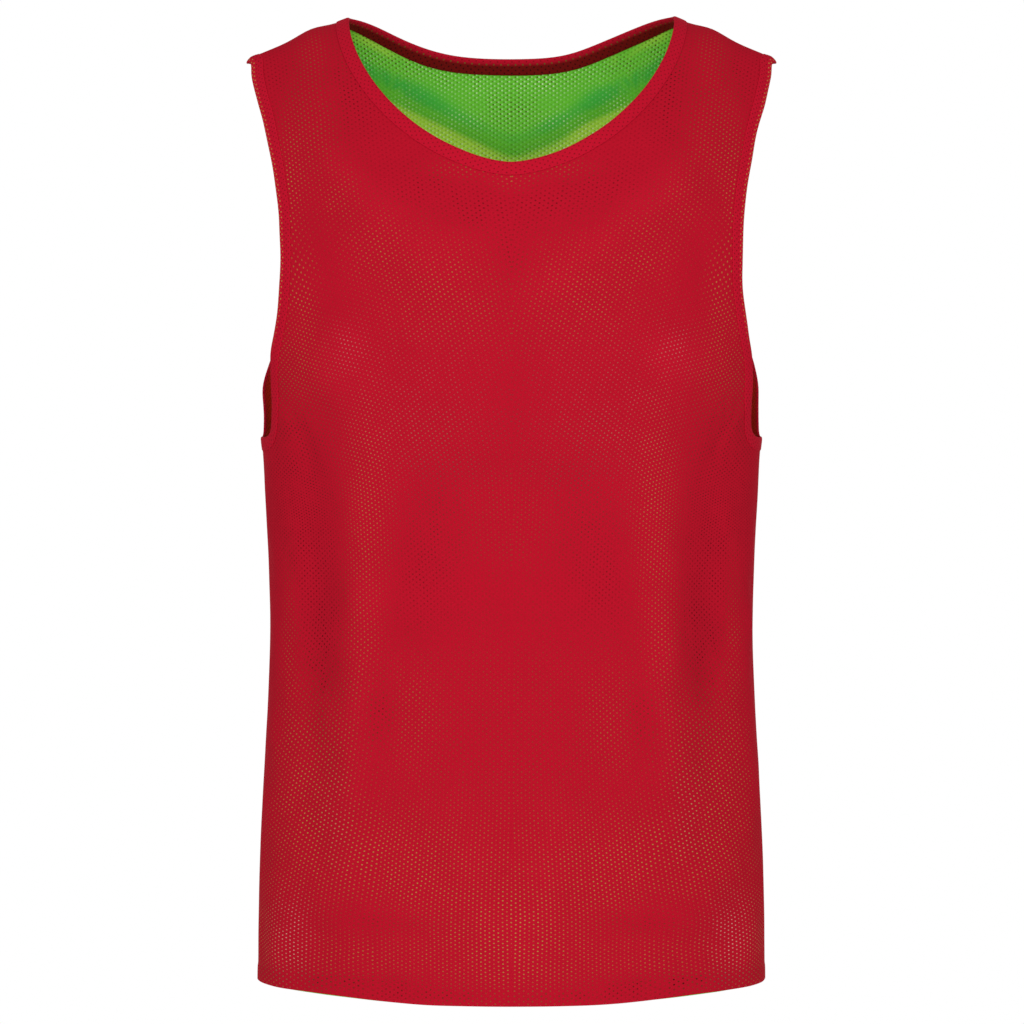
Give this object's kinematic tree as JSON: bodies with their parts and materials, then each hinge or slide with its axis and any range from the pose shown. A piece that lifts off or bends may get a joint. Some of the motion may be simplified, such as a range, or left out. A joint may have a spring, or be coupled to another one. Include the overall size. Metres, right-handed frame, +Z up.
{
  "type": "reversible training bib",
  "caption": "Sleeveless reversible sports bib of two mesh layers, red outside and green inside, with bound neck and armholes, filled out as if worn.",
  "frame": {"origin": "midway between the two shoulders, at the height of the underside of the straps halfway along them, where a wearer's shoulders carry the bib", "axes": "+Z up towards the neck, +X towards the viewer's right, -Y towards the front of the bib"},
  "size_m": [0.4004, 0.2322, 0.727],
  "materials": {
    "red_mesh": "matt polyester eyelet mesh with small staggered holes",
    "green_mesh": "matt polyester eyelet mesh with small staggered holes",
    "red_binding": "smooth fine knit folded binding with a stitched edge"
  },
  "bodies": {
    "root": {"front_red": "red_mesh", "back_red": "red_mesh", "front_green": "green_mesh", "back_green": "green_mesh", "neck_band": "red_binding", "armhole_band_left": "red_binding", "armhole_band_right": "red_binding"}
  },
  "joints": []
}
